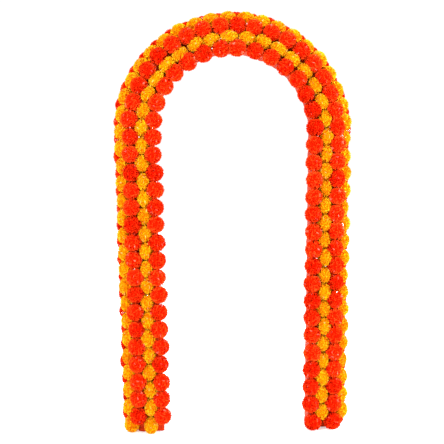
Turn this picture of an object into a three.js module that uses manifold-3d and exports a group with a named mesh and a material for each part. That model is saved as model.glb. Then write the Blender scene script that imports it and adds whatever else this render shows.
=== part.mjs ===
// A free-standing marigold entrance arch, in millimetres, +Z up.
//
// A bent steel tube stands on two foot plates. Foam blocks of a D-shaped section are threaded on it, with
// the round side away from the opening, and three cloth sleeves cover them. Eight strings of marigold heads
// lie side by side on the cloth, red and yellow in turn, from the front edge of the opening, round the
// outside and across the back. Each string is three garlands tied end to end: two legs and the arch.
//
// X runs across the opening, the front faces -Y, and the origin is on the floor in the middle.
// Everything is made straight first, in section axes: x towards the opening, y to the back, z along the
// arch from the left foot, over the top, to the right foot. bendToArch then lays it along the arch.

import * as THREE from 'three';
import { mergeVertices } from 'three/addons/utils/BufferGeometryUtils.js';
import Module from 'manifold-3d';

// Driving dimensions
const ARCH_RADIUS = 458;        // of the tube's centre line over the opening
const ARCH_CENTRE_HEIGHT = 1490;
const LEG_LEAN = THREE.MathUtils.degToRad(1.3);  // both legs come closer together towards the floor

const CORE_WIDTH = 128;         // across the D section, in the plane of the arch
const CORE_DEPTH = 130;         // front to back
const OUTER_CORNER = 50;        // radius of the D's two big corners
const INNER_CORNER = 12;        // radius of its two corners beside the opening
const CLOTH = 1.3;              // thickness of the sleeve
const GAP = 0.4;                // between pieces that touch

const HEAD_PITCH = 85;          // aimed at, from head to head along a garland
const HEAD_REACH = 81;          // how far a head stands off the cloth
const STRAND_OFFSET = 36;       // of the line they are spaced along from the cloth
const FIRST_STRAND_X = 59;      // the strand beside the opening
const STRAND_COUNT = 8;
const NECK = 0.5;               // share of a head's width that is left between two heads
const BELLY = 0.26;             // of a head's length, from either end to where it is widest
const HEAD_SHARE = 0.95;        // of the room between two strings, taken by a head
const LOW_START = 1;            // height at which a strand's lowest petals stand off the floor

const TUBE_RADIUS = 16;
const TUBE_WALL = 2;
const FOOT_THICKNESS = 8;
const TUBE_CLEARANCE = 1;       // of a leaning tube's end over the foot plate
const FOAM_CLEARANCE = 4;       // and of the foam's
const HEM_HEIGHT = 3;           // of the sleeve's ends along the legs
const FOOT_INSET = 3;           // of the foot plate's edge from the foam's
const SPIGOT_LENGTH = 150;
const SPIGOT_WALL = 2.5;
const PIN_RADIUS = 3;
const HOLE_PLAY = 0.5;
const PIN_LENGTH = 30;
const FOAM_BORE_PLAY = 0.6;

// Facets
const HEAD_SIDES = 6;
const TUBE_SIDES = 10;
const CORNER_STEPS = 4;
const ARCH_STEPS = 24;

const COLOURS = {
  red: { color: 0xe8220a, roughness: 0.62, metalness: 0 },
  yellow: { color: 0xf2a003, roughness: 0.66, metalness: 0 },
  cloth: { color: 0xc4200c, roughness: 0.8, metalness: 0 },
  foam: { color: 0xf2f1ec, roughness: 0.9, metalness: 0 },
  steel: { color: 0x8b8f94, roughness: 0.35, metalness: 1 },
};

// The path
const ARC_ANGLE = Math.PI + 2 * LEG_LEAN;
const LEG_LENGTH = (ARCH_CENTRE_HEIGHT - ARCH_RADIUS * Math.sin(LEG_LEAN)) / Math.cos(LEG_LEAN);
const ARC_LENGTH = ARCH_RADIUS * ARC_ANGLE;
const ARC_STEP = ARC_LENGTH / ARCH_STEPS;
const PATH_LENGTH = 2 * LEG_LENGTH + ARC_LENGTH;

// Where the path is at z along it, and which way the opening lies from there.
function frameAt(z) {
  const beyond = THREE.MathUtils.clamp((z - LEG_LENGTH) / ARCH_RADIUS, 0, ARC_ANGLE);
  const angle = Math.PI + LEG_LEAN - beyond;
  const inward = new THREE.Vector3(-Math.cos(angle), 0, -Math.sin(angle));
  const along = new THREE.Vector3(-inward.z, 0, inward.x);
  const straightPart = z - LEG_LENGTH - beyond * ARCH_RADIUS;
  const point = new THREE.Vector3(0, 0, ARCH_CENTRE_HEIGHT)
    .addScaledVector(inward, -ARCH_RADIUS)
    .addScaledVector(along, straightPart);
  return { point, inward };
}

// Lays a straight geometry along the arch.
function bendToArch(geometry) {
  const position = geometry.getAttribute('position');
  for (let i = 0; i < position.count; i++) {
    const { point, inward } = frameAt(position.getZ(i));
    point.addScaledVector(inward, position.getX(i));
    position.setXYZ(i, point.x, position.getY(i), point.z);
  }
  return geometry;
}

const root = new THREE.Group();

function addMesh(name, geometry, look) {
  const mesh = new THREE.Mesh(geometry, new THREE.MeshStandardMaterial(COLOURS[look]));
  mesh.name = name;
  root.add(mesh);
}

// Booleans
const wasm = await Module();
wasm.setup();

function toManifold(geometry) {
  const bare = geometry.clone();
  bare.deleteAttribute('normal');
  bare.deleteAttribute('uv');
  const merged = mergeVertices(bare, 1e-3);
  return new wasm.Manifold(new wasm.Mesh({
    numProp: 3,
    vertProperties: new Float32Array(merged.getAttribute('position').array),
    triVerts: new Uint32Array(merged.getIndex().array),
  }));
}

function fromManifold(solid) {
  const mesh = solid.getMesh();
  return new THREE.BufferGeometry()
    .setAttribute('position', new THREE.BufferAttribute(new Float32Array(mesh.vertProperties), 3))
    .setIndex(new THREE.BufferAttribute(new Uint32Array(mesh.triVerts), 1));
}

// The D section, grown or shrunk by an offset, as a closed shape.
function dSection(offset) {
  const inner = CORE_WIDTH / 2;
  const side = CORE_DEPTH / 2;
  const corners = [
    { x: inner - INNER_CORNER, y: side - INNER_CORNER, r: INNER_CORNER, steps: 2 },
    { x: OUTER_CORNER - inner, y: side - OUTER_CORNER, r: OUTER_CORNER, steps: CORNER_STEPS },
    { x: OUTER_CORNER - inner, y: OUTER_CORNER - side, r: OUTER_CORNER, steps: CORNER_STEPS },
    { x: inner - INNER_CORNER, y: INNER_CORNER - side, r: INNER_CORNER, steps: 2 },
  ];
  const points = corners.flatMap(({ x, y, r, steps }, quarter) =>
    Array.from({ length: steps + 1 }, (_, k) => {
      const angle = (quarter + k / steps) * (Math.PI / 2);
      return new THREE.Vector2(x + (r + offset) * Math.cos(angle), y + (r + offset) * Math.sin(angle));
    }));
  return new THREE.Shape(points);
}

function ring(radius) {
  return Array.from({ length: TUBE_SIDES }, (_, k) => {
    const angle = (k / TUBE_SIDES) * 2 * Math.PI;
    return new THREE.Vector2(radius * Math.cos(angle), radius * Math.sin(angle));
  });
}

// A section pushed along z. It has a ring at either end and at each of the arc's even steps in between,
// so pieces that fit into each other bend at the same places.
function run(shape, start, end) {
  const arcStops = Array.from({ length: ARCH_STEPS + 1 }, (_, k) => LEG_LENGTH + k * ARC_STEP);
  const stops = [start, ...arcStops.filter((z) => z > start + GAP && z < end - GAP), end];
  const steps = stops.length - 1;
  const geometry = new THREE.ExtrudeGeometry(shape, { depth: steps, steps, bevelEnabled: false });
  const position = geometry.getAttribute('position');
  for (let i = 0; i < position.count; i++) position.setZ(i, stops[Math.round(position.getZ(i))]);
  return geometry;
}

function tubeShape(outer, inner) {
  const shape = new THREE.Shape(ring(outer));
  shape.holes.push(new THREE.Path(ring(inner)));
  return shape;
}

// A pin's cylinder across the tube, front to back, at z along the path.
function crossCylinder(radius, length, z) {
  return new THREE.CylinderGeometry(radius, radius, length, TUBE_SIDES).translate(0, 0, z);
}

function drilled(geometry, ...places) {
  const hole = (z) => toManifold(crossCylinder(PIN_RADIUS + HOLE_PLAY, 3 * TUBE_RADIUS, z));
  return fromManifold(places.reduce((solid, z) => solid.subtract(hole(z)), toManifold(geometry)));
}

// Steel frame: two feet, two leg tubes and two quarter bends, on couplers held by cross pins.
const tubeStart = FOOT_THICKNESS + TUBE_CLEARANCE;
const foamStart = FOOT_THICKNESS + FOAM_CLEARANCE;
const apex = PATH_LENGTH / 2;
const coupled = { left: LEG_LENGTH, top: apex, right: PATH_LENGTH - LEG_LENGTH };
const couplerHalf = ARC_STEP;
const pinStep = couplerHalf / 2;    // of each of a coupler's two pins from its middle
const footPin = SPIGOT_LENGTH * 0.6;
const tubeInner = TUBE_RADIUS - TUBE_WALL;
const sleeveOuter = tubeInner - HOLE_PLAY;

function addTube(name, start, end, ...pins) {
  const tube = run(tubeShape(TUBE_RADIUS, tubeInner), start, end);
  addMesh(name, bendToArch(drilled(tube, ...pins)), 'steel');
}

function addPin(name, z) {
  addMesh(name, bendToArch(crossCylinder(PIN_RADIUS, PIN_LENGTH, z)), 'steel');
}

function addFrame() {
  const { left, top, right } = coupled;
  const farPin = PATH_LENGTH - footPin;
  addTube('leg_tube_left', tubeStart, left - GAP / 2, footPin, left - pinStep);
  addTube('arch_tube_left', left + GAP / 2, top - GAP / 2, left + pinStep, top - pinStep);
  addTube('arch_tube_right', top + GAP / 2, right - GAP / 2, top + pinStep, right - pinStep);
  addTube('leg_tube_right', right + GAP / 2, PATH_LENGTH - tubeStart, right + pinStep, farPin);
  for (const [side, z] of Object.entries(coupled)) {
    const sleeve = run(tubeShape(sleeveOuter, sleeveOuter - SPIGOT_WALL), z - couplerHalf, z + couplerHalf);
    addMesh(`coupler_${side}`, bendToArch(drilled(sleeve, z - pinStep, z + pinStep)), 'steel');
    addPin(`pin_${side}_a`, z - pinStep);
    addPin(`pin_${side}_b`, z + pinStep);
  }
}

// A foot is a flat plate with a spigot welded on, leaning with its leg.
function addFeet() {
  const plate = new THREE.ExtrudeGeometry(dSection(-CLOTH - GAP - FOOT_INSET),
    { depth: FOOT_THICKNESS, steps: 1, bevelEnabled: false }).translate(frameAt(0).point.x, 0, 0);
  const spigot = run(tubeShape(sleeveOuter, sleeveOuter - SPIGOT_WALL), FOOT_THICKNESS / 2, SPIGOT_LENGTH);
  const foot = toManifold(plate).add(toManifold(bendToArch(drilled(spigot, footPin))));
  addMesh('foot_left', fromManifold(foot), 'steel');
  addMesh('foot_right', fromManifold(foot.mirror([1, 0, 0])), 'steel');
  addPin('pin_foot_left', footPin);
  addPin('pin_foot_right', PATH_LENGTH - footPin);
}

// Foam blocks on the tube, and the three sleeves over them.
function foamShape() {
  const shape = dSection(-CLOTH - GAP);
  shape.holes.push(new THREE.Path(ring(TUBE_RADIUS + FOAM_BORE_PLAY)));
  return shape;
}

function addFoam() {
  const half = GAP / 2;
  const middle = LEG_LENGTH / 2;
  const blocks = {
    left_lower: [foamStart, middle - half],
    left_upper: [middle + half, LEG_LENGTH - half],
    arch_left: [LEG_LENGTH + half, apex - half],
    arch_right: [apex + half, PATH_LENGTH - LEG_LENGTH - half],
    right_upper: [PATH_LENGTH - LEG_LENGTH + half, PATH_LENGTH - middle - half],
    right_lower: [PATH_LENGTH - middle + half, PATH_LENGTH - foamStart],
  };
  for (const [place, [start, end]] of Object.entries(blocks)) {
    addMesh(`foam_${place}`, bendToArch(run(foamShape(), start, end)), 'foam');
  }
}

function addCloth() {
  const shape = dSection(0);
  shape.holes.push(dSection(-CLOTH));
  const { left, right } = coupled;
  addMesh('cloth_left', bendToArch(run(shape, HEM_HEIGHT, left - GAP / 2)), 'cloth');
  addMesh('cloth_arch', bendToArch(run(shape, left + GAP / 2, right - GAP / 2)), 'cloth');
  addMesh('cloth_right', bendToArch(run(shape, right + GAP / 2, PATH_LENGTH - HEM_HEIGHT)), 'cloth');
}

// The strings lie at even steps on a line round the outside of the section: flat across the front, round
// a big corner, to the middle of the outer side, and on to the back as a mirror image.
const cornerX = OUTER_CORNER - CORE_WIDTH / 2;
const cornerY = CORE_DEPTH / 2 - OUTER_CORNER;
const flatRun = FIRST_STRAND_X - cornerX;
const bendRun = (OUTER_CORNER + STRAND_OFFSET) * (Math.PI / 2);
const halfRun = flatRun + bendRun + cornerY;
const strandSpacing = (2 * halfRun) / STRAND_COUNT;

// Where strand k meets the cloth, and which way it faces away from it.
function strandPlace(k) {
  const along = k * strandSpacing;
  const near = Math.min(along, 2 * halfRun - along);
  const side = along <= halfRun ? 1 : -1;
  const angle = (THREE.MathUtils.clamp((near - flatRun) / bendRun, 0, 1) * Math.PI) / 2;
  const pastCorner = Math.max(0, near - flatRun - bendRun);
  const x = cornerX - OUTER_CORNER * Math.sin(angle) + Math.max(0, flatRun - near);
  const y = -cornerY - OUTER_CORNER * Math.cos(angle) + pastCorner;
  return { x, y: y * side, out: new THREE.Vector2(-Math.sin(angle), -Math.cos(angle) * side) };
}

// A strand's own length, when its centre is x nearer the opening than the tube.
function strandLength(x) {
  return 2 * LEG_LENGTH + (ARCH_RADIUS - x) * ARC_ANGLE;
}

// Where a distance along such a strand falls on the centre line.
function toCentreLine(t, x) {
  const arc = (ARCH_RADIUS - x) * ARC_ANGLE;
  if (t <= LEG_LENGTH) return t;
  if (t >= LEG_LENGTH + arc) return t - arc + ARC_LENGTH;
  return LEG_LENGTH + ((t - LEG_LENGTH) * ARC_LENGTH) / arc;
}

// The ends of a strand's heads, from its lowest petals on the left to those on the right. A red strand
// starts half a head higher than a yellow one on the left, and half a head lower on the right.
function headEnds(x, isRed) {
  const floor = LOW_START - x * Math.sin(LEG_LEAN);
  const start = floor + (isRed ? HEAD_PITCH / 2 : 0);
  const end = strandLength(x) - floor - (isRed ? 0 : HEAD_PITCH / 2);
  const count = Math.round((end - start) / HEAD_PITCH);
  return Array.from({ length: count + 1 }, (_, k) => start + ((end - start) * k) / count);
}

// One garland: a hexagonal lathe with a barrel for each head, with a flat side against the cloth.
function garland(place, centre, ends) {
  const radial = (HEAD_REACH - GAP) / 2 / Math.cos(Math.PI / HEAD_SIDES);
  const across = strandSpacing * HEAD_SHARE / 2;
  const z = ends.map((t) => toCentreLine(t, centre.x));
  const last = z.length - 1;
  const profile = [new THREE.Vector2(0, z[0] + GAP)];
  for (let k = 0; k < last; k++) {
    const length = z[k + 1] - z[k];
    profile.push(new THREE.Vector2(1, z[k] + BELLY * length), new THREE.Vector2(1, z[k + 1] - BELLY * length));
    if (k < last - 1) profile.push(new THREE.Vector2(NECK, z[k + 1]));
  }
  profile.push(new THREE.Vector2(0, z[last] - GAP));
  const bead = new THREE.LatheGeometry(profile, HEAD_SIDES, Math.PI / HEAD_SIDES)
    .rotateX(Math.PI / 2)
    .scale(across, radial, 1);
  return bendToArch(bead.rotateZ(-Math.atan2(place.out.x, place.out.y)).translate(centre.x, centre.y, 0));
}

const STRAND_NAMES = [
  'opening_front', 'middle_front', 'corner_front', 'side_front',
  'side_middle', 'side_back', 'corner_back', 'middle_back',
];

function addGarlands() {
  for (let k = 0; k < STRAND_COUNT; k++) {
    const isRed = k % 2 === 0;
    const look = isRed ? 'red' : 'yellow';
    const place = strandPlace(k);
    const centre = place.out.clone().multiplyScalar((HEAD_REACH + GAP) / 2).add(place);
    const ends = headEnds(centre.x, isRed);
    const nearer = (t) => (a, b) => (Math.abs(ends[b] - t) < Math.abs(ends[a] - t) ? b : a);
    const first = [...ends.keys()].reduce(nearer(LEG_LENGTH));
    const second = [...ends.keys()].reduce(nearer(strandLength(centre.x) - LEG_LENGTH));
    const pieces = {
      left: ends.slice(0, first + 1),
      arch: ends.slice(first, second + 1),
      right: ends.slice(second),
    };
    for (const [part, list] of Object.entries(pieces)) {
      addMesh(`garland_${look}_${STRAND_NAMES[k]}_${part}`, garland(place, centre, list), look);
    }
  }
}

addFrame();
addFeet();
addFoam();
addCloth();
addGarlands();

export default root;
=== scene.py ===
import math
import random

import bpy
import numpy as np
from mathutils import Matrix, Vector


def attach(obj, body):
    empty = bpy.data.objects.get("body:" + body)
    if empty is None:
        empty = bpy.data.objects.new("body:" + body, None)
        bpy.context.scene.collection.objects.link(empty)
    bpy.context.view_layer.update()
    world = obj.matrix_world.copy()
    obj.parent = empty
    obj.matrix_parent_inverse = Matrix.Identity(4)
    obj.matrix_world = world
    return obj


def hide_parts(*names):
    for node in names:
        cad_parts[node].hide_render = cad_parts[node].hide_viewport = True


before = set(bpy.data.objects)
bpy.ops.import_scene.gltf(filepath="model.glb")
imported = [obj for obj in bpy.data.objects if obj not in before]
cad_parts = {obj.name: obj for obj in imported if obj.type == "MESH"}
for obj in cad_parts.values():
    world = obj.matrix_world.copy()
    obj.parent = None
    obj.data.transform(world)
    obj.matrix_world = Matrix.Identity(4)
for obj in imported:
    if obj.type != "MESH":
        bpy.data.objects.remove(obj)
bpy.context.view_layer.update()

# Marigold entrance arch: eight strings of frilled flower heads on a cloth-covered foam arch. Metres, +Z up, the
# front faces -Y, and the origin is on the floor in the middle.

bl_info = {
    "name": "Marigold entrance arch",
    "version": (1, 0, 0),
    "blender": (4, 5, 0),
    "location": "View3D > Sidebar > Arch",
    "description": "Builds the flower garlands, the cloth sleeves and the ties of a walk-through flower arch",
    "category": "Add Mesh",
}

# The line that the arch follows, as in the solids.
ARCH_RADIUS = 0.458
ARCH_CENTRE_HEIGHT = 1.490
LEG_LEAN = math.radians(1.3)
ARC_ANGLE = math.pi + 2 * LEG_LEAN
LEG_LENGTH = (ARCH_CENTRE_HEIGHT - ARCH_RADIUS * math.sin(LEG_LEAN)) / math.cos(LEG_LEAN)
ARC_LENGTH = ARCH_RADIUS * ARC_ANGLE
PATH_LENGTH = 2 * LEG_LENGTH + ARC_LENGTH

# Its section: a D with the round side away from the opening.
CORE_WIDTH = 0.128
CORE_DEPTH = 0.130
OUTER_CORNER = 0.050
INNER_CORNER = 0.012

# The strings on it.
STRAND_COUNT = 8
STRAND_OFFSET = 0.036
FIRST_STRAND_X = 0.059
HEAD_PITCH = 0.085
HEAD_REACH = 0.081
LOW_START = 0.001
STRAND_NAMES = ("opening_front", "middle_front", "corner_front", "side_front",
                "side_middle", "side_back", "corner_back", "middle_back")
# How each strand's heads are squashed between their neighbours: radius as a share of a free head's, width
# over depth, and how much deeper they sit than the middle of their solids.
STRAND_FITS = ((0.99, 1.06, -0.001), (0.92, 0.82, 0.008), (0.99, 1.06, -0.001), (0.95, 0.90, 0.001),
               (0.92, 0.96, 0.004), (0.95, 0.90, 0.001), (0.99, 1.06, -0.001), (0.92, 0.82, 0.008))
RIGHT_SIDE_SINK = 0.008   # more for the side strand on the right leg, which is pulled tight between its neighbours
FLOOR_PRESS = 0.005       # of the lowest heads into the floor, which flattens their petals
FOOT_SHIFT = 0.014        # of the lowest head beside the opening on the right leg, which leans on its neighbour
BODY = "root"
LOOP_HEIGHT = 0.965   # of the slack tie loop on the right leg

# The sleeves: hems, folds and the seam along the back, beside the opening.
HEM_HEIGHT = 0.003
HEM_WIDTH = 0.022
HEM_RISE = 0.0009
FOLD_HEIGHT = 0.0050
SEAM_RISE = 0.0016
SEAM_HALF = 0.006
SEAM_X = 0.045
STITCH_LIFT = 0.0015
RING_STEP = 0.009
CLOTH_THICKNESS = 0.0011
HEM_RINGS = 6             # rings of faces in each hem
PUCKER_PITCH = 0.018      # round the hem
GATHER_PITCH = 0.037      # along the seam
GATHER_HEIGHT = 0.0012
HEM_STITCH_PITCH = 0.0068
SEAM_STITCH_PITCH = 0.009
SLEEVE_GAP = 0.0002       # half the gap where two sleeves meet
WAVE_UNIT = 0.314   # a wave texture's scale for one band per unit

# A flower head, as shares of its radius.
CORE_SHARE = 0.75
PETAL_ROOT = 0.60
PETAL_WIDTH = (0.26, 0.36)
PETAL_LEAN = 0.22
HEAD_PATTERNS = 4
FLOOR_HEIGHT = 0.0008     # to which petals are flattened, in metres
FLOOR_HEADS = 0.6         # a head whose middle is lower than this share of the pitch rests on the floor


def frame_at(s):
    """The arch's centre line at distance s from the left foot, and the way to the opening from there."""
    beyond = min(max((s - LEG_LENGTH) / ARCH_RADIUS, 0.0), ARC_ANGLE)
    angle = math.pi + LEG_LEAN - beyond
    inward = Vector((-math.cos(angle), 0, -math.sin(angle)))
    along = Vector((-inward.z, 0, inward.x))
    point = Vector((0, 0, ARCH_CENTRE_HEIGHT)) - inward * ARCH_RADIUS
    return point + along * (s - LEG_LENGTH - beyond * ARCH_RADIUS), inward, along


def on_arch(x, y, s):
    """A point x towards the opening, y to the back and s along the arch."""
    point, inward, _ = frame_at(s)
    return point + inward * x + Vector((0, y, 0))


# ---------------------------------------------------------------- settings

class ARCH_PG_flowers(bpy.types.PropertyGroup):
    red: bpy.props.FloatVectorProperty(
        name="Red petals", description="Colour of the red heads' petals", subtype="COLOR", size=3, min=0, max=1,
        default=(1.0, 0.042, 0.001))
    yellow: bpy.props.FloatVectorProperty(
        name="Yellow petals", description="Colour of the yellow heads' petals", subtype="COLOR", size=3, min=0,
        max=1, default=(1.0, 0.46, 0.0))
    radius: bpy.props.FloatProperty(
        name="Head radius", description="From a head's middle to its petal tips", subtype="DISTANCE",
        unit="LENGTH", default=0.0440, min=0.03, max=0.05)
    petals: bpy.props.IntProperty(
        name="Petals", description="Frilled petals on one head", default=210, min=60, max=260)


class ARCH_PG_cloth(bpy.types.PropertyGroup):
    colour: bpy.props.FloatVectorProperty(
        name="Cloth", description="Colour of the sleeves", subtype="COLOR", size=3, min=0, max=1,
        default=(0.92, 0.060, 0.003))
    thread_pitch: bpy.props.FloatProperty(
        name="Thread pitch", description="From thread to thread in the weave", subtype="DISTANCE", unit="LENGTH",
        default=0.0009, min=0.0003, max=0.003)


class ARCH_PG_stage(bpy.types.PropertyGroup):
    distance: bpy.props.FloatProperty(
        name="Camera distance", description="From the camera to the arch", subtype="DISTANCE", unit="LENGTH",
        default=4.5, min=2, max=20)
    turn: bpy.props.FloatProperty(
        name="Camera turn", description="Angle of the camera to the left of the arch's front", subtype="ANGLE",
        default=math.radians(4.4))
    height: bpy.props.FloatProperty(
        name="Camera height", description="Height of the camera over the floor", subtype="DISTANCE", unit="LENGTH",
        default=1.15, min=0, max=4)
    roll: bpy.props.FloatProperty(
        name="Camera roll", description="Turn of the camera about its line of sight", subtype="ANGLE",
        default=math.radians(-0.58))


# ---------------------------------------------------------------- helpers

def deselect():
    if bpy.context.object and bpy.context.object.mode != "OBJECT":
        bpy.ops.object.mode_set(mode="OBJECT")
    bpy.ops.object.select_all(action="DESELECT")


def activate(*objects):
    deselect()
    for o in objects:
        o.select_set(True)
    bpy.context.view_layer.objects.active = objects[0]


def select_where(obj, test):
    """In edit mode with only those vertices selected whose place passes the test."""
    bpy.ops.object.mode_set(mode="OBJECT")
    mesh = obj.data
    for item in (*mesh.vertices, *mesh.edges, *mesh.polygons):
        item.select = False
    for v in mesh.vertices:
        v.select = bool(test(v.co))
    bpy.ops.object.mode_set(mode="EDIT")
    bpy.ops.mesh.select_mode(type="VERT")


def copy_of(template, matrix):
    made = template.copy()
    made.data = template.data.copy()
    made.matrix_world = matrix
    bpy.context.collection.objects.link(made)
    return made


def joined(objects, name):
    """All of them as one object at the origin, with its place in its mesh."""
    activate(*objects)
    if len(objects) > 1:
        bpy.ops.object.join()
    piece = bpy.context.object
    bpy.ops.object.transform_apply(location=True, rotation=True, scale=True)
    bpy.context.scene.cursor.location = (0, 0, 0)
    bpy.ops.object.origin_set(type="ORIGIN_CURSOR")
    piece.name = name
    piece.data.name = name
    return piece


def set_attribute(mesh, name, values):
    attribute = mesh.attributes.get(name) or mesh.attributes.new(name, "FLOAT", "POINT")
    attribute.data.foreach_set("value", np.broadcast_to(np.asarray(values, np.float32), len(mesh.vertices)).copy())


def new_material(name):
    material = bpy.data.materials.new(name)
    material.use_nodes = True
    tree = material.node_tree
    tree.nodes.clear()
    output = tree.nodes.new("ShaderNodeOutputMaterial")
    shader = tree.nodes.new("ShaderNodeBsdfPrincipled")
    tree.links.new(shader.outputs["BSDF"], output.inputs["Surface"])
    return material, tree, shader


def node(tree, kind, **values):
    """A node with its inputs set by name, and its other settings by attribute."""
    made = tree.nodes.new(kind)
    for key, value in values.items():
        if key in made.inputs:
            made.inputs[key].default_value = value
        else:
            setattr(made, key, value)
    return made


def mix_colours(tree, factor, a, b, blend="MIX"):
    made = tree.nodes.new("ShaderNodeMix")
    made.data_type = "RGBA"
    made.blend_type = blend
    sockets = (made.inputs["Factor"], made.inputs[6], made.inputs[7])
    for socket, value in zip(sockets, (factor, a, b)):
        if isinstance(value, bpy.types.NodeSocket):
            tree.links.new(value, socket)
        else:
            socket.default_value = value
    return made.outputs[2]


def ramp(tree, factor, stops):
    made = tree.nodes.new("ShaderNodeValToRGB")
    elements = made.color_ramp.elements
    while len(elements) < len(stops):
        elements.new(0.5)
    for element, (place, colour) in zip(elements, stops):
        element.position = place
        element.color = (*colour, 1) if len(colour) == 3 else colour
    tree.links.new(factor, made.inputs["Fac"])
    return made.outputs["Color"]


def shade(colour, amount):
    return tuple(min(1.0, c * amount) for c in colour)


def toward(colour, other, share):
    return tuple(a + (b - a) * share for a, b in zip(colour, other))


# ---------------------------------------------------------------- flower heads

def petal_material(name, colour, painted_shade, light, dull):
    """Thin frilled polyester: painted shade between the petals and on the core, full colour on them, paler at the
    cut edge as a painted highlight, and a few petals painted pale all over as glints.
    """
    material, tree, shader = new_material(name)
    tip = node(tree, "ShaderNodeAttribute", attribute_name="tip")
    painted_glint = node(tree, "ShaderNodeAttribute", attribute_name="painted_glint")
    head_tone = node(tree, "ShaderNodeAttribute", attribute_name="head_tone")
    # Along each petal: painted shade at the root, then full colour, then a painted highlight at the cut edge.
    body = ramp(tree, tip.outputs["Fac"], [(0.0, painted_shade), (0.35, toward(painted_shade, colour, 0.45)), (0.7, colour),
                                           (0.98, light)])
    # Petals marked for it are painted pale all over: painted glints.
    pale = mix_colours(tree, painted_glint.outputs["Fac"], body, (*toward(light, (1, 1, 1), 0.22), 1))
    coords = node(tree, "ShaderNodeTexCoord")
    fibre = node(tree, "ShaderNodeTexNoise", Scale=520.0, Detail=3.0, Roughness=0.6)
    tree.links.new(coords.outputs["Object"], fibre.inputs["Vector"])
    grain = ramp(tree, fibre.outputs["Fac"], [(0.3, (0.86,) * 3), (0.7, (1.0,) * 3)])
    grained = mix_colours(tree, 1.0, pale, grain, "MULTIPLY")
    tone = ramp(tree, head_tone.outputs["Fac"], [(0.0, dull), (0.5, toward(dull, (1, 1, 1), 0.7)), (1.0, (1,) * 3)])
    toned = mix_colours(tree, 1.0, grained, tone, "MULTIPLY")
    tree.links.new(toned, shader.inputs["Base Color"])
    shader.inputs["Roughness"].default_value = 0.6
    shader.inputs["Specular IOR Level"].default_value = 0.01
    bump = node(tree, "ShaderNodeBump", Strength=0.35, Distance=0.0006)
    tree.links.new(fibre.outputs["Fac"], bump.inputs["Height"])
    tree.links.new(bump.outputs["Normal"], shader.inputs["Normal"])
    return material


def petal_template():
    """One petal, 1 long from its root at the origin to its notched edge: a grid, narrow and cupped at the root."""
    deselect()
    bpy.ops.mesh.primitive_grid_add(x_subdivisions=2, y_subdivisions=2, size=1, location=(0, 0, 0))
    petal = bpy.context.object
    petal.name = "petal_template"
    bpy.ops.object.mode_set(mode="EDIT")
    bpy.ops.mesh.select_all(action="SELECT")
    bpy.ops.transform.translate(value=(0, 0.5, 0))
    for y, width in ((0.0, 0.35), (0.5, 0.85)):
        select_where(petal, lambda co, y=y: abs(co.y - y) < 0.05)
        bpy.ops.transform.resize(value=(width, 1, 1))
    select_where(petal, lambda co: abs(co.y - 0.5) < 0.05)
    bpy.ops.transform.translate(value=(0, 0.10, 0.16))
    for x, (length, lift) in {-0.5: (0.0, 0.12), 0.0: (-0.16, -0.16), 0.5: (0.0, 0.14)}.items():
        select_where(petal, lambda co, x=x: co.y > 0.9 and abs(co.x - x) < 0.05)
        bpy.ops.transform.translate(value=(0, length, lift))
    bpy.ops.object.mode_set(mode="OBJECT")
    return petal


def head_template(petal, rng, petals, index):
    """A round head, 1 in radius: petals on a spiral over a small core, each with its own twist and length."""
    deselect()
    bpy.ops.mesh.primitive_ico_sphere_add(subdivisions=2, radius=CORE_SHARE)
    core = bpy.context.object
    bpy.ops.object.mode_set(mode="EDIT")
    bpy.ops.mesh.select_all(action="SELECT")
    bpy.ops.transform.vertex_random(offset=0.05, uniform=0.5, normal=0.5, seed=index)
    bpy.ops.object.mode_set(mode="OBJECT")
    # The core takes the painted shade colour of the petal roots.
    set_attribute(core.data, "tip", 0.05)
    set_attribute(core.data, "painted_glint", 0.0)
    pieces = [core]
    along_petal = np.array([v.co.y for v in petal.data.vertices])
    for k in range(petals):
        z = 1 - 2 * (k + 0.5) / petals
        azimuth = k * math.pi * (3 - math.sqrt(5))
        flat = math.sqrt(1 - z * z)
        out = Vector((flat * math.cos(azimuth), flat * math.sin(azimuth), z))
        out = (out + Vector([rng.gauss(0, 0.06) for _ in range(3)])).normalized()
        lean = out + Vector([rng.gauss(0, PETAL_LEAN) for _ in range(3)])
        turn = lean.to_track_quat("Y", "Z").to_matrix().to_4x4()
        twist = Matrix.Rotation(rng.uniform(0, math.tau), 4, "Y")
        length = (1 - PETAL_ROOT) * rng.uniform(0.90, 1.05)
        width = rng.uniform(*PETAL_WIDTH)
        size = Matrix.Diagonal((width, length, rng.choice((-1, 1)) * rng.uniform(0.7, 1.1) * width, 1))
        made = copy_of(petal, Matrix.Translation(out * PETAL_ROOT) @ turn @ twist @ size)
        set_attribute(made.data, "tip", np.clip(along_petal * rng.uniform(0.85, 1.05), 0, 1))
        # About one petal in thirty gets a painted glint.
        set_attribute(made.data, "painted_glint", rng.uniform(0.5, 1.0) if rng.random() < 0.03 else
                      rng.uniform(0.0, 0.03))
        pieces.append(made)
    head = joined(pieces, f"head_template_{index}")
    set_attribute(head.data, "head_tone", 1.0)
    return head


def strand_place(k):
    """Where strand k meets the cloth in the section, and which way it faces away from it."""
    corner_x = OUTER_CORNER - CORE_WIDTH / 2
    corner_y = CORE_DEPTH / 2 - OUTER_CORNER
    flat = FIRST_STRAND_X - corner_x
    bend = (OUTER_CORNER + STRAND_OFFSET) * math.pi / 2
    half = flat + bend + corner_y
    along = k * 2 * half / STRAND_COUNT
    near = min(along, 2 * half - along)
    side = 1 if along <= half else -1
    angle = min(max((near - flat) / bend, 0), 1) * math.pi / 2
    past = max(0, near - flat - bend)
    x = corner_x - OUTER_CORNER * math.sin(angle) + max(0, flat - near)
    y = -corner_y - OUTER_CORNER * math.cos(angle) + past
    return Vector((x, y * side)), Vector((-math.sin(angle), -math.cos(angle) * side))


def strand_length(x):
    return 2 * LEG_LENGTH + (ARCH_RADIUS - x) * ARC_ANGLE


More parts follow.
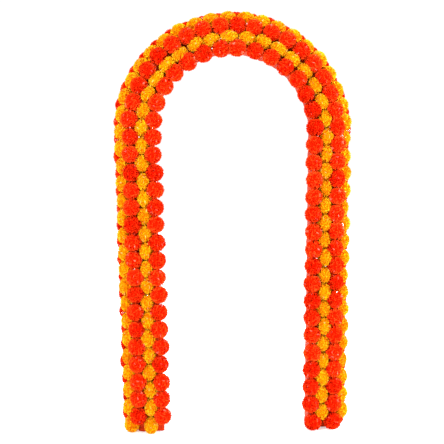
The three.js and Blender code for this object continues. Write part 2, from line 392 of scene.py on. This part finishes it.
def to_centre_line(t, x):
    arc = (ARCH_RADIUS - x) * ARC_ANGLE
    if t <= LEG_LENGTH:
        return t
    if t >= LEG_LENGTH + arc:
        return t - arc + ARC_LENGTH
    return LEG_LENGTH + (t - LEG_LENGTH) * ARC_LENGTH / arc


def head_ends(x, is_red):
    """Where a strand's heads end, along it. Red starts half a head higher on the left, yellow on the right."""
    floor = LOW_START - x * math.sin(LEG_LEAN)
    start = floor + (HEAD_PITCH / 2 if is_red else 0)
    end = strand_length(x) - floor - (0 if is_red else HEAD_PITCH / 2)
    count = round((end - start) / HEAD_PITCH)
    return [start + (end - start) * k / count for k in range(count + 1)]


def strand_line(k):
    """Strand k's middle in the section, the way out from the cloth, and where its heads end along it."""
    foot, out = strand_place(k)
    middle = foot + out * HEAD_REACH / 2
    return middle, out, head_ends(middle.x, k % 2 == 0)


def on_strand(middle, out, depth, t):
    """The place t along a strand, sunk towards the cloth, with the way out and the way along there."""
    s = to_centre_line(t, middle.x)
    sunk = middle - out * depth
    _, inward, along = frame_at(s)
    return on_arch(sunk.x, sunk.y, s), inward * out.x + Vector((0, out.y, 0)), along


def sink(k, part):
    """How much deeper a garland sits than the middle of its solid."""
    tight = part == "right" and STRAND_NAMES[k] == "side_middle"
    return STRAND_FITS[k][2] + (RIGHT_SIDE_SINK if tight else 0)


def garland_parts(ends, x):
    """The strand's three garlands, as in the solids: (name, first head, last head)."""
    def nearest(t):
        return min(range(len(ends)), key=lambda i: abs(ends[i] - t))
    first, second = nearest(LEG_LENGTH), nearest(strand_length(x) - LEG_LENGTH)
    return (("left", 0, first), ("arch", first, second), ("right", second, len(ends) - 1))


class ARCH_OT_flowers(bpy.types.Operator):
    """The eight strings of flower heads, three garlands in each"""
    bl_idname = "arch.flowers"
    bl_label = "Flower garlands"

    def execute(self, context):
        settings = context.scene.arch_flowers
        rng = random.Random(7)
        # For each look: petal colour, painted shade at the roots, painted highlight at the edges, and the dullest
        # head tone.
        materials = {
            "red": petal_material("petals_red_orange", tuple(settings.red), (0.80, 0.012, 0.0),
                                  (1.0, 0.14, 0.014), (0.80, 0.45, 0.4)),
            "yellow": petal_material("petals_yellow_orange", tuple(settings.yellow), (1.0, 0.32, 0.0),
                                     (1.0, 0.62, 0.02), (0.93, 0.84, 0.8)),
        }
        petal = petal_template()
        heads = [head_template(petal, rng, settings.petals, k) for k in range(HEAD_PATTERNS)]
        for k in range(STRAND_COUNT):
            look = "yellow" if k % 2 else "red"
            self.strand(k, look, heads, materials[look], settings, rng)
        activate(petal, *heads)
        bpy.ops.object.delete()
        return {"FINISHED"}

    def strand(self, k, look, heads, material, settings, rng):
        middle, out, ends = strand_line(k)
        share, squeeze, _ = STRAND_FITS[k]
        radii = (settings.radius * share, settings.radius * share * squeeze)
        for part, first, last in garland_parts(ends, middle.x):
            spots = [on_strand(middle, out, sink(k, part), (ends[i] + ends[i + 1]) / 2) for i in range(first, last)]
            if part == "right" and STRAND_NAMES[k] == "opening_front":
                spots[-1][0].x += FOOT_SHIFT
            pieces = [self.head(ends[i], ends[i + 1], spot, rng.choice(heads), radii, rng)
                      for i, spot in enumerate(spots, first)]
            name = f"{look}_{STRAND_NAMES[k]}_{part}"
            garland = joined(pieces, f"flowers_{name}")
            for v in garland.data.vertices:
                v.co.z = max(v.co.z, FLOOR_HEIGHT)
            garland.data.materials.clear()
            garland.data.materials.append(material)
            bpy.ops.object.shade_smooth()
            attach(garland, BODY)
            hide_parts(f"garland_{name}")

    def head(self, start, end, spot, template, radii, rng):
        """A copy of a head between two places on a strand, turned about the string at random."""
        place, outward, along = spot
        nudge = Vector((rng.gauss(0, 0.0020), rng.gauss(0, 0.0016), rng.gauss(0, 0.0016)))
        if place.z < HEAD_PITCH * FLOOR_HEADS:
            nudge.z = -FLOOR_PRESS
        basis = Matrix((outward, along.cross(outward), along)).transposed().to_4x4()
        even = rng.uniform(0.965, 1.03)
        height = (end - start) / 2 * rng.uniform(1.03, 1.11)
        spin = Matrix.Rotation(rng.uniform(0, math.tau), 4, "Z") @ Matrix.Rotation(rng.gauss(0, 0.12), 4, "X")
        flip = Matrix.Rotation(rng.choice((0, math.pi)), 4, "X")
        size = Matrix.Diagonal((radii[0] * even, radii[1] * even, height, 1))
        made = copy_of(template, Matrix.Translation(place + nudge) @ basis @ size @ spin @ flip)
        set_attribute(made.data, "head_tone", rng.random())
        return made


# ---------------------------------------------------------------- cloth

def cloth_material(colour, thread_pitch):
    """Satin-faced plain weave: pale where it is seen at a low angle."""
    material, tree, shader = new_material("cloth_red_satin_weave")
    uv = node(tree, "ShaderNodeUVMap", uv_map="cloth")
    warp = node(tree, "ShaderNodeTexWave", wave_type="BANDS", bands_direction="X", wave_profile="SIN")
    weft = node(tree, "ShaderNodeTexWave", wave_type="BANDS", bands_direction="Y", wave_profile="SIN")
    for wave in (warp, weft):
        wave.inputs["Scale"].default_value = WAVE_UNIT / thread_pitch
        wave.inputs["Distortion"].default_value = 0.6
        wave.inputs["Detail"].default_value = 1.0
        tree.links.new(uv.outputs["UV"], wave.inputs["Vector"])
    weave = node(tree, "ShaderNodeMath", operation="MULTIPLY")
    tree.links.new(warp.outputs["Fac"], weave.inputs[0])
    tree.links.new(weft.outputs["Fac"], weave.inputs[1])
    coords = node(tree, "ShaderNodeTexCoord")
    patch = node(tree, "ShaderNodeTexNoise", Scale=9.0, Detail=4.0)
    tree.links.new(coords.outputs["Object"], patch.inputs["Vector"])
    slub = node(tree, "ShaderNodeMapping")
    slub.inputs["Scale"].default_value = (220.0, 9.0, 1.0)
    streaks = node(tree, "ShaderNodeTexNoise", Scale=1.0, Detail=5.0, Roughness=0.7)
    tree.links.new(uv.outputs["UV"], slub.inputs["Vector"])
    tree.links.new(slub.outputs["Vector"], streaks.inputs["Vector"])
    creases = node(tree, "ShaderNodeTexNoise", Scale=26.0, Detail=3.0, Distortion=1.2)
    tree.links.new(coords.outputs["Object"], creases.inputs["Vector"])
    threads = ramp(tree, weave.outputs[0], [(0.0, shade(colour, 0.45)), (0.6, colour)])
    broad = ramp(tree, patch.outputs["Fac"], [(0.3, (0.74, 0.60, 0.6)), (0.7, (1.0,) * 3)])
    slubs = ramp(tree, streaks.outputs["Fac"], [(0.35, (0.78, 0.66, 0.6)), (0.6, (1.0,) * 3)])
    tinted = mix_colours(tree, 1.0, threads, broad, "MULTIPLY")
    tree.links.new(mix_colours(tree, 1.0, tinted, slubs, "MULTIPLY"), shader.inputs["Base Color"])
    tree.links.new(ramp(tree, streaks.outputs["Fac"], [(0.3, (0.42,) * 3), (0.7, (0.58,) * 3)]),
                   shader.inputs["Roughness"])
    shader.inputs["Specular IOR Level"].default_value = 0.06
    shader.inputs["Sheen Weight"].default_value = 0.55
    shader.inputs["Sheen Roughness"].default_value = 0.14
    shader.inputs["Sheen Tint"].default_value = (1.0, 0.33, 0.15, 1)
    folds = node(tree, "ShaderNodeBump", Strength=0.7, Distance=0.004)
    tree.links.new(creases.outputs["Fac"], folds.inputs["Height"])
    bump = node(tree, "ShaderNodeBump", Strength=0.6, Distance=0.0003)
    tree.links.new(weave.outputs[0], bump.inputs["Height"])
    tree.links.new(folds.outputs["Normal"], bump.inputs["Normal"])
    tree.links.new(bump.outputs["Normal"], shader.inputs["Normal"])
    return material


def thread_material(name, colour, ply):
    """Twisted sewing thread or string, with its twist running round it."""
    material, tree, shader = new_material(name)
    coords = node(tree, "ShaderNodeTexCoord")
    twist = node(tree, "ShaderNodeTexWave", wave_type="BANDS", bands_direction="DIAGONAL", Scale=ply,
                 Distortion=1.5)
    tree.links.new(coords.outputs["Object"], twist.inputs["Vector"])
    tree.links.new(ramp(tree, twist.outputs["Fac"], [(0.1, shade(colour, 0.6)), (0.6, colour)]),
                   shader.inputs["Base Color"])
    shader.inputs["Roughness"].default_value = 0.7
    shader.inputs["Sheen Weight"].default_value = 0.3
    bump = node(tree, "ShaderNodeBump", Strength=0.6, Distance=0.0003)
    tree.links.new(twist.outputs["Fac"], bump.inputs["Height"])
    tree.links.new(bump.outputs["Normal"], shader.inputs["Normal"])
    return material


class ARCH_OT_cloth(bpy.types.Operator):
    """The three cloth sleeves over the foam, hemmed and sewn up along the back"""
    bl_idname = "arch.cloth"
    bl_label = "Cloth sleeves"

    def execute(self, context):
        settings = context.scene.arch_cloth
        cloth = cloth_material(tuple(settings.colour), settings.thread_pitch)
        thread = thread_material("thread_sewing_red", shade(tuple(settings.colour), 0.30), 900.0)
        right = PATH_LENGTH - LEG_LENGTH
        spans = {"left": (HEM_HEIGHT, LEG_LENGTH - SLEEVE_GAP),
                 "arch": (LEG_LENGTH + SLEEVE_GAP, right - SLEEVE_GAP),
                 "right": (right + SLEEVE_GAP, PATH_LENGTH - HEM_HEIGHT)}
        stitch = self.stitch()
        for index, (name, (start, end)) in enumerate(spans.items()):
            sleeve, perimeter = self.sleeve(name, start, end, index)
            sleeve.data.materials.append(cloth)
            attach(sleeve, BODY)
            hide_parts(f"cloth_{name}")
            seams = self.stitches(name, stitch, start, end)
            seams.data.materials.clear()
            seams.data.materials.append(thread)
            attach(seams, BODY)
        activate(stitch)
        bpy.ops.object.delete()
        return {"FINISHED"}

    def section(self):
        """The D section's outline: a rectangle with two big and two small corners rounded."""
        deselect()
        bpy.ops.mesh.primitive_plane_add(size=1, location=(0, 0, 0))
        outline = bpy.context.object
        bpy.ops.object.mode_set(mode="EDIT")
        bpy.ops.mesh.select_all(action="SELECT")
        bpy.ops.transform.resize(value=(CORE_WIDTH, CORE_DEPTH, 1))
        bpy.ops.mesh.select_all(action="DESELECT")
        select_where(outline, lambda co: co.x < 0)
        bpy.ops.mesh.bevel(affect="VERTICES", offset_type="WIDTH", offset=OUTER_CORNER, segments=12, profile=0.5)
        select_where(outline, lambda co: co.x > CORE_WIDTH / 2 - 0.001)
        bpy.ops.mesh.bevel(affect="VERTICES", offset_type="WIDTH", offset=INNER_CORNER, segments=4, profile=0.5)
        bpy.ops.mesh.select_all(action="SELECT")
        bpy.ops.mesh.delete(type="ONLY_FACE")
        for x, cuts in ((CORE_WIDTH / 2, 13), (0.02, 15), (-CORE_WIDTH / 2, 3)):
            self.subdivide_long(outline, x, cuts)
        bpy.ops.object.mode_set(mode="OBJECT")
        return outline

    def subdivide_long(self, outline, x, cuts):
        """Cuts the straight runs whose middle is at about x, so the cloth can wrinkle there."""
        bpy.ops.object.mode_set(mode="OBJECT")
        mesh = outline.data
        for item in (*mesh.vertices, *mesh.edges):
            item.select = False
        for edge in mesh.edges:
            a, b = (mesh.vertices[i].co for i in edge.vertices)
            middle = (a + b) / 2
            if (a - b).length > 0.02 and abs(middle.x - x) < 0.02:
                edge.select = True
        bpy.ops.object.mode_set(mode="EDIT")
        bpy.ops.mesh.select_mode(type="EDGE")
        bpy.ops.mesh.subdivide(number_cuts=cuts)

    def walk_round(self, outline):
        """A vertex attribute with the distance round the outline from its seam, and the whole distance."""
        mesh = outline.data
        near = {v.index: [] for v in mesh.vertices}
        for edge in mesh.edges:
            a, b = edge.vertices
            near[a].append(b)
            near[b].append(a)
        seam = min(near, key=lambda i: (mesh.vertices[i].co - Vector((SEAM_X, CORE_DEPTH / 2, 0))).length)
        order, last, here = [seam], None, seam
        while True:
            following = [i for i in near[here] if i != last]
            last, here = here, following[0]
            if here == seam:
                break
            order.append(here)
        places = [mesh.vertices[i].co for i in order]
        steps = [(a - b).length for a, b in zip(places, places[1:] + places[:1])]
        around = np.zeros(len(mesh.vertices), np.float32)
        around[order] = np.concatenate([[0], np.cumsum(steps[:-1])])
        set_attribute(mesh, "around", around)
        return sum(steps)

    def sleeve(self, name, start, end, index):
        outline = self.section()
        perimeter = self.walk_round(outline)
        outline.location.z = start
        bpy.ops.object.transform_apply(location=True)
        length = end - start
        rings = round(length / RING_STEP)
        screw = outline.modifiers.new("length", "SCREW")
        screw.angle = 0
        screw.screw_offset = length
        screw.steps = screw.render_steps = rings
        screw.use_normal_calculate = False
        activate(outline)
        bpy.ops.object.modifier_apply(modifier="length")
        mesh = outline.data
        around = np.empty(len(mesh.vertices), np.float32)
        mesh.attributes["around"].data.foreach_get("value", around)
        place = np.empty((len(mesh.vertices), 3), np.float64)
        mesh.vertices.foreach_get("co", place.ravel())
        share = (place[:, 2] - start) / length
        s = start + length * self.closer_at_hems(share, length, rings)
        rise = self.folds(around, s, start, end, perimeter, index)
        normal = self.section_normal(place[:, 0], place[:, 1])
        flat = place[:, :2] + normal * rise[:, None]
        self.lay_uv(mesh, around, s, perimeter)
        for v, (x, y), t in zip(mesh.vertices, flat, s):
            v.co = on_arch(float(x), float(y), float(t))
        self.face_out(outline)
        wall = outline.modifiers.new("cloth", "SOLIDIFY")
        wall.thickness = CLOTH_THICKNESS
        wall.offset = -1
        activate(outline)
        bpy.ops.object.modifier_apply(modifier="cloth")
        bpy.ops.object.shade_smooth_by_angle(angle=math.radians(50))
        outline.name = outline.data.name = f"cloth_sleeve_{name}"
        return outline, perimeter

    def closer_at_hems(self, share, length, rings):
        """Moves the rings so that the first and last few lie in the hems."""
        hem_rings = HEM_RINGS / rings
        hem = HEM_WIDTH * 1.3 / length
        return np.interp(share, [0, hem_rings, 1 - hem_rings, 1], [0, hem, 1 - hem, 1])

    def folds(self, around, s, start, end, perimeter, index):
        """How far the cloth stands off the foam: small stretch folds, a turned-up hem, and the back seam."""
        rng = np.random.default_rng(31 + index)
        turn = 2 * math.pi * around / perimeter
        rise = np.zeros(len(s))
        for _ in range(9):
            count, wave = rng.integers(1, 6), rng.uniform(25, 130)
            phase, slope = rng.uniform(0, 2 * math.pi, 2)
            rise += np.sin(count * turn + phase) * np.sin(wave * s + slope + 2 * np.sin(turn + phase)) / 4
        rise = FOLD_HEIGHT * np.clip(0.1 + rise, 0, 1)
        edge = np.minimum(s - start, end - s)
        hem = np.clip((HEM_WIDTH - edge) / 0.002, 0, 1)
        rise = rise * (1 - 0.6 * hem) + HEM_RISE * hem
        puckers = np.sin(around * 2 * math.pi / PUCKER_PITCH + index) * np.exp(-np.abs(edge - HEM_WIDTH) / 0.008)
        rise += 0.0004 * (1 + puckers)
        seam = np.minimum(around, perimeter - around)
        gathers = GATHER_HEIGHT * (1 + np.sin(2 * math.pi * s / GATHER_PITCH)) * np.exp(-((seam / 0.022) ** 2))
        return rise + gathers + SEAM_RISE * np.clip((SEAM_HALF + 0.002 - seam) / 0.002, 0, 1)

    def section_normal(self, x, y):
        """Away from the foam, in the section, at each point of the outline."""
        cx = np.where(x < 0, OUTER_CORNER - CORE_WIDTH / 2, CORE_WIDTH / 2 - INNER_CORNER)
        reach = np.where(x < 0, CORE_DEPTH / 2 - OUTER_CORNER, CORE_DEPTH / 2 - INNER_CORNER)
        nx = np.where(x < 0, np.minimum(x - cx, 0), np.maximum(x - cx, 0))
        ny = y - np.clip(y, -reach, reach)
        size = np.hypot(nx, ny)
        return np.stack([nx / size, ny / size], 1)

    def lay_uv(self, mesh, around, s, perimeter):
        """The weave runs with the cloth: u round the sleeve, v along it."""
        layer = mesh.uv_layers.new(name="cloth")
        for polygon in mesh.polygons:
            u = [float(around[i]) for i in polygon.vertices]
            wraps = max(u) - min(u) > perimeter / 2
            for loop, i, value in zip(polygon.loop_indices, polygon.vertices, u):
                u_here = value + perimeter if wraps and value < perimeter / 2 else value
                layer.data[loop].uv = (u_here, float(s[i]))

    def face_out(self, piece):
        activate(piece)
        bpy.ops.object.mode_set(mode="EDIT")
        bpy.ops.mesh.select_all(action="SELECT")
        bpy.ops.mesh.normals_make_consistent(inside=False)
        bpy.ops.object.mode_set(mode="OBJECT")
        face = piece.data.polygons[0]
        middle = face.center
        nearest = min((frame_at(t)[0] for t in np.linspace(0, PATH_LENGTH, 400)), key=lambda p: (p - middle).length)
        if face.normal.dot(middle - nearest) < 0:
            bpy.ops.object.mode_set(mode="EDIT")
            bpy.ops.mesh.flip_normals()
            bpy.ops.object.mode_set(mode="OBJECT")

    def stitch(self):
        """One stitch along X: a small stretched ball."""
        deselect()
        bpy.ops.mesh.primitive_ico_sphere_add(subdivisions=1, radius=1)
        stitch = bpy.context.object
        bpy.ops.object.mode_set(mode="EDIT")
        bpy.ops.mesh.select_all(action="SELECT")
        bpy.ops.transform.resize(value=(0.0024, 0.0006, 0.0006))
        bpy.ops.object.mode_set(mode="OBJECT")
        return stitch

    def stitches(self, name, stitch, start, end):
        """Running stitches round both hems, and whip stitches across the back seam."""
        pieces = []
        outline = self.outline_points(HEM_STITCH_PITCH)
        for s in (start + HEM_WIDTH * 0.9, end - HEM_WIDTH * 0.9):
            for (x, y), (nx, ny), (tx, ty) in outline:
                _, inward, along = frame_at(s)
                out = inward * nx + Vector((0, ny, 0))
                side = inward * tx + Vector((0, ty, 0))
                place = on_arch(x + nx * STITCH_LIFT, y + ny * STITCH_LIFT, s)
                basis = Matrix((side, out, along)).transposed().to_4x4()
                pieces.append(copy_of(stitch, Matrix.Translation(place) @ basis))
        for s in np.arange(start + 0.004, end - 0.004, SEAM_STITCH_PITCH):
            _, inward, along = frame_at(float(s))
            lean = (along + inward * 0.5).normalized()
            out = Vector((0, 1, 0))
            basis = Matrix((lean, out, lean.cross(out))).transposed().to_4x4()
            place = on_arch(SEAM_X, CORE_DEPTH / 2 + SEAM_RISE + 0.0030, float(s))
            pieces.append(copy_of(stitch, Matrix.Translation(place) @ basis))
        return joined(pieces, f"stitches_{name}")

    def outline_points(self, step):
        """Even places round the D section: (x, y), the way out, and the way round."""
        inner, side = CORE_WIDTH / 2, CORE_DEPTH / 2
        corners = ((inner - INNER_CORNER, side - INNER_CORNER, INNER_CORNER, 0),
                   (OUTER_CORNER - inner, side - OUTER_CORNER, OUTER_CORNER, 1),
                   (OUTER_CORNER - inner, OUTER_CORNER - side, OUTER_CORNER, 2),
                   (inner - INNER_CORNER, INNER_CORNER - side, INNER_CORNER, 3))
        fine = []
        for x, y, r, quarter in corners:
            for k in range(13):
                angle = (quarter + k / 12) * math.pi / 2
                fine.append(Vector((x + r * math.cos(angle), y + r * math.sin(angle))))
        fine.append(fine[0])
        points, carried = [], 0.0
        for a, b in zip(fine, fine[1:]):
            way = b - a
            at = step - carried
            while at <= way.length:
                along = way.normalized()
                points.append((tuple(a + along * at), (along.y, -along.x), tuple(along)))
                at += step
            carried = way.length - (at - step)
        return points


# ---------------------------------------------------------------- strings and ties

class ARCH_OT_strings(bpy.types.Operator):
    """The string through each garland's heads, and the wire ties that hold the garlands to the foam"""
    bl_idname = "arch.strings"
    bl_label = "Strings and ties"

    def execute(self, context):
        string = thread_material("string_cotton_orange", (0.80, 0.20, 0.03), 700.0)
        wire = self.wire_material()
        tie = self.tie()
        rng = random.Random(19)
        for k in range(STRAND_COUNT):
            middle, out, ends = strand_line(k)
            ties = []
            for part, first, last in garland_parts(ends, middle.x):
                depth = sink(k, part)
                self.string(f"string_{STRAND_NAMES[k]}_{part}", ends[first:last + 1], middle, out, depth, string)
                held = {last, (first + last) // 2 + (k % 3) - 1}
                ties += [copy_of(tie, self.tie_place(on_strand(middle, out, depth, ends[i]), rng))
                         for i in sorted(held) if i < len(ends) - 1]
            piece = joined(ties, f"ties_{STRAND_NAMES[k]}")
            piece.data.materials.clear()
            piece.data.materials.append(wire)
            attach(piece, BODY)
        self.loop(wire)
        activate(tie)
        bpy.ops.object.delete()
        return {"FINISHED"}

    def string(self, name, ends, middle, out, depth, material):
        data = bpy.data.curves.new(name, "CURVE")
        data.dimensions = "3D"
        data.bevel_depth = 0.0008
        data.bevel_resolution = 1
        data.use_fill_caps = True
        spline = data.splines.new("POLY")
        places = np.interp(np.arange(2 * len(ends) - 1) / 2, np.arange(len(ends)), ends)
        places[0] += 0.004
        places[-1] -= 0.004
        spline.points.add(len(places) - 1)
        for point, t in zip(spline.points, places):
            point.co = (*on_strand(middle, out, depth, float(t))[0], 1)
        made = bpy.data.objects.new(name, data)
        bpy.context.collection.objects.link(made)
        activate(made)
        bpy.ops.object.convert(target="MESH")
        made.data.materials.clear()
        made.data.materials.append(material)
        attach(made, BODY)

    def tie(self):
        """A wire tie along X: two strands twisted together, ending in a small eye."""
        deselect()
        bpy.ops.mesh.primitive_torus_add(location=(0.0305, 0, 0), rotation=(math.pi / 2, 0, 0), major_radius=0.0045,
                                         minor_radius=0.0006, major_segments=14, minor_segments=5)
        eye = bpy.context.object
        pieces = [eye]
        for phase in (0, math.pi):
            data = bpy.data.curves.new("tie_strand", "CURVE")
            data.dimensions = "3D"
            data.bevel_depth = 0.0006
            data.bevel_resolution = 0
            data.use_fill_caps = True
            spline = data.splines.new("POLY")
            spline.points.add(20)
            for i, point in enumerate(spline.points):
                angle = phase + i * math.pi / 4
                point.co = (0.002 + 0.0012 * i, 0.0007 * math.cos(angle), 0.0007 * math.sin(angle), 1)
            strand = bpy.data.objects.new("tie_strand", data)
            bpy.context.collection.objects.link(strand)
            activate(strand)
            bpy.ops.object.convert(target="MESH")
            pieces.append(strand)
        return joined(pieces, "tie_template")

    def tie_place(self, spot, rng):
        place, outward, along = spot
        lean = (Matrix.Rotation(rng.uniform(-0.6, 0.6), 4, along)
                @ Matrix.Rotation(rng.uniform(-0.2, 0.2), 4, outward))
        basis = Matrix((outward, along.cross(outward), along)).transposed().to_4x4()
        return Matrix.Translation(place) @ lean @ basis @ Matrix.Rotation(rng.uniform(0, math.tau), 4, "X")

    def loop(self, wire):
        """The slack end of a tie on the right leg: a tall loop of wire that stands out between two garlands."""
        deselect()
        bpy.ops.mesh.primitive_torus_add(location=(0, 0, 0), rotation=(math.pi / 2, 0, 0), major_radius=0.011,
                                         minor_radius=0.0011, major_segments=28, minor_segments=7)
        bpy.ops.object.transform_apply(rotation=True)
        made = bpy.context.object
        bpy.ops.object.mode_set(mode="EDIT")
        bpy.ops.mesh.select_all(action="SELECT")
        bpy.ops.transform.resize(value=(0.55, 1, 1.5))
        select_where(made, lambda co: co.x < -0.004)
        bpy.ops.mesh.extrude_region_move()
        bpy.ops.transform.translate(value=(-0.016, 0.003, -0.004))
        bpy.ops.transform.resize(value=(0.4, 0.6, 0.2))
        bpy.ops.object.mode_set(mode="OBJECT")
        t = strand_length(strand_line(2)[0].x) - LOOP_HEIGHT
        spots = [on_strand(*strand_line(k)[:2], -HEAD_REACH * 0.36, t) for k in (2, 3)]
        outward = (spots[0][1] + spots[1][1]).normalized()
        along = spots[0][2]
        basis = Matrix((outward, along.cross(outward), along)).transposed().to_4x4()
        made.matrix_world = Matrix.Translation(spots[0][0].lerp(spots[1][0], 0.35)) @ basis
        loop = joined([made], "tie_loop_right")
        loop.data.materials.clear()
        loop.data.materials.append(wire)
        bpy.ops.object.shade_smooth()
        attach(loop, BODY)

    def wire_material(self):
        material, tree, shader = new_material("wire_tie_silver")
        coords = node(tree, "ShaderNodeTexCoord")
        spots = node(tree, "ShaderNodeTexNoise", Scale=900.0, Detail=2.0)
        tree.links.new(coords.outputs["Object"], spots.inputs["Vector"])
        tree.links.new(ramp(tree, spots.outputs["Fac"], [(0.3, (0.72, 0.72, 0.74)), (0.7, (0.95, 0.95, 0.96))]),
                       shader.inputs["Base Color"])
        shader.inputs["Metallic"].default_value = 1.0
        shader.inputs["Roughness"].default_value = 0.25
        return material


# ---------------------------------------------------------------- frame inside

class ARCH_OT_inside(bpy.types.Operator):
    """Finishes for the foam, the tube, the couplers, the pins and the feet"""
    bl_idname = "arch.inside"
    bl_label = "Foam and steel"

    def execute(self, context):
        foam, steel = self.foam_material(), self.steel_material()
        for name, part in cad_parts.items():
            if name.startswith("foam_"):
                look = foam
            elif name.startswith(("foot_", "leg_tube_", "arch_tube_", "coupler_", "pin_")):
                look = steel
            else:
                continue
            for slot in part.material_slots:
                slot.material = look
        return {"FINISHED"}

    def foam_material(self):
        """White expanded foam: beads pressed into facets, with fine dark lines between them."""
        material, tree, shader = new_material("foam_white_beads")
        coords = node(tree, "ShaderNodeTexCoord")
        beads = node(tree, "ShaderNodeTexVoronoi", Scale=260.0)
        tree.links.new(coords.outputs["Object"], beads.inputs["Vector"])
        white = ramp(tree, beads.outputs["Distance"], [(0.0, (0.95, 0.95, 0.93)), (0.8, (0.78, 0.78, 0.76))])
        tree.links.new(white, shader.inputs["Base Color"])
        shader.inputs["Roughness"].default_value = 0.85
        bump = node(tree, "ShaderNodeBump", Strength=0.4, Distance=0.0006)
        bump.invert = True
        tree.links.new(beads.outputs["Distance"], bump.inputs["Height"])
        tree.links.new(bump.outputs["Normal"], shader.inputs["Normal"])
        return material

    def steel_material(self):
        """Zinc-plated steel: pale spangle and fine drawing lines."""
        material, tree, shader = new_material("steel_zinc_plated")
        coords = node(tree, "ShaderNodeTexCoord")
        spangle = node(tree, "ShaderNodeTexVoronoi", Scale=90.0)
        stretch = node(tree, "ShaderNodeMapping", Scale=(1.0, 1.0, 0.05))
        lines = node(tree, "ShaderNodeTexNoise", Scale=800.0, Detail=2.0)
        tree.links.new(coords.outputs["Object"], spangle.inputs["Vector"])
        tree.links.new(coords.outputs["Object"], stretch.inputs["Vector"])
        tree.links.new(stretch.outputs["Vector"], lines.inputs["Vector"])
        zinc = ramp(tree, spangle.outputs["Distance"], [(0.0, (0.52, 0.54, 0.57)), (1.0, (0.70, 0.72, 0.74))])
        tree.links.new(zinc, shader.inputs["Base Color"])
        shader.inputs["Metallic"].default_value = 1.0
        tree.links.new(ramp(tree, lines.outputs["Fac"], [(0.3, (0.28,) * 3), (0.7, (0.42,) * 3)]),
                       shader.inputs["Roughness"])
        return material


# ---------------------------------------------------------------- stage

class ARCH_OT_stage(bpy.types.Operator):
    """Floor, backdrop light and camera"""
    bl_idname = "arch.stage"
    bl_label = "Stage"

    def execute(self, context):
        settings = context.scene.arch_stage
        self.floor()
        self.lights()
        self.camera(settings)
        return {"FINISHED"}

    def floor(self):
        deselect()
        bpy.ops.mesh.primitive_plane_add(size=60, location=(0, 0, -0.0005))
        floor = bpy.context.object
        floor.name = "stage_floor"
        bpy.ops.object.transform_apply(location=True)
        material, _, shader = new_material("stage_floor_white")
        shader.inputs["Base Color"].default_value = (0.93, 0.93, 0.93, 1)
        shader.inputs["Roughness"].default_value = 0.9
        shader.inputs["Emission Color"].default_value = (1, 1, 1, 1)
        shader.inputs["Emission Strength"].default_value = 0.5
        floor.data.materials.append(material)

    def lights(self):
        world = bpy.data.worlds.new("stage_world")
        world.use_nodes = True
        background = world.node_tree.nodes["Background"]
        background.inputs["Color"].default_value = (1, 1, 1, 1)
        background.inputs["Strength"].default_value = 1.08
        bpy.context.scene.world = world
        bpy.context.scene.view_settings.view_transform = "Standard"
        for name, place, size, power in (("key", (-2.2, -3.0, 3.4), 2.2, 165),
                                         ("rim", (3.0, -0.5, 2.2), 1.6, 240)):
            bpy.ops.object.light_add(type="AREA", location=place)
            light = bpy.context.object
            light.name = f"stage_{name}_light"
            light.data.size = size
            light.data.energy = power
            aim = Vector((0, 0, 1.1)) - Vector(place)
            light.rotation_euler = aim.to_track_quat("-Z", "Y").to_euler()

    def camera(self, settings):
        aim_at = Vector((-0.058, 0, 1.035))
        data = bpy.data.cameras.new("camera")
        camera = bpy.data.objects.new("camera", data)
        bpy.context.collection.objects.link(camera)
        back = Vector((-math.sin(settings.turn), -math.cos(settings.turn), 0))
        camera.location = back * settings.distance + Vector((0, 0, settings.height))
        aim = aim_at - camera.location
        camera.rotation_euler = aim.to_track_quat("-Z", "Y").to_euler()
        camera.rotation_euler.rotate_axis("Z", settings.roll)
        data.sensor_width = 36
        data.lens = 36 * settings.distance / 2.235
        data.clip_end = 200
        bpy.context.scene.camera = camera


class ARCH_PT_panel(bpy.types.Panel):
    """The arch's pieces, in the order in which they are made"""
    bl_label = "Flower arch"
    bl_idname = "ARCH_PT_panel"
    bl_space_type = "VIEW_3D"
    bl_region_type = "UI"
    bl_category = "Arch"

    def draw(self, context):
        for group in (context.scene.arch_flowers, context.scene.arch_cloth, context.scene.arch_stage):
            box = self.layout.box()
            for name in group.__annotations__:
                box.prop(group, name)
        for operator in OPERATORS:
            self.layout.operator(operator.bl_idname)


GROUPS = {"arch_flowers": ARCH_PG_flowers, "arch_cloth": ARCH_PG_cloth, "arch_stage": ARCH_PG_stage}
OPERATORS = (ARCH_OT_inside, ARCH_OT_cloth, ARCH_OT_flowers, ARCH_OT_strings, ARCH_OT_stage)


def register():
    for item in (*GROUPS.values(), *OPERATORS, ARCH_PT_panel):
        bpy.utils.register_class(item)
    for name, group in GROUPS.items():
        setattr(bpy.types.Scene, name, bpy.props.PointerProperty(type=group))


def unregister():
    for name in GROUPS:
        delattr(bpy.types.Scene, name)
    for item in reversed((*GROUPS.values(), *OPERATORS, ARCH_PT_panel)):
        bpy.utils.unregister_class(item)


def main():
    register()
    bpy.ops.arch.inside()
    bpy.ops.arch.cloth()
    bpy.ops.arch.flowers()
    bpy.ops.arch.strings()
    bpy.ops.arch.stage()


if __name__ == "__main__":
    main()
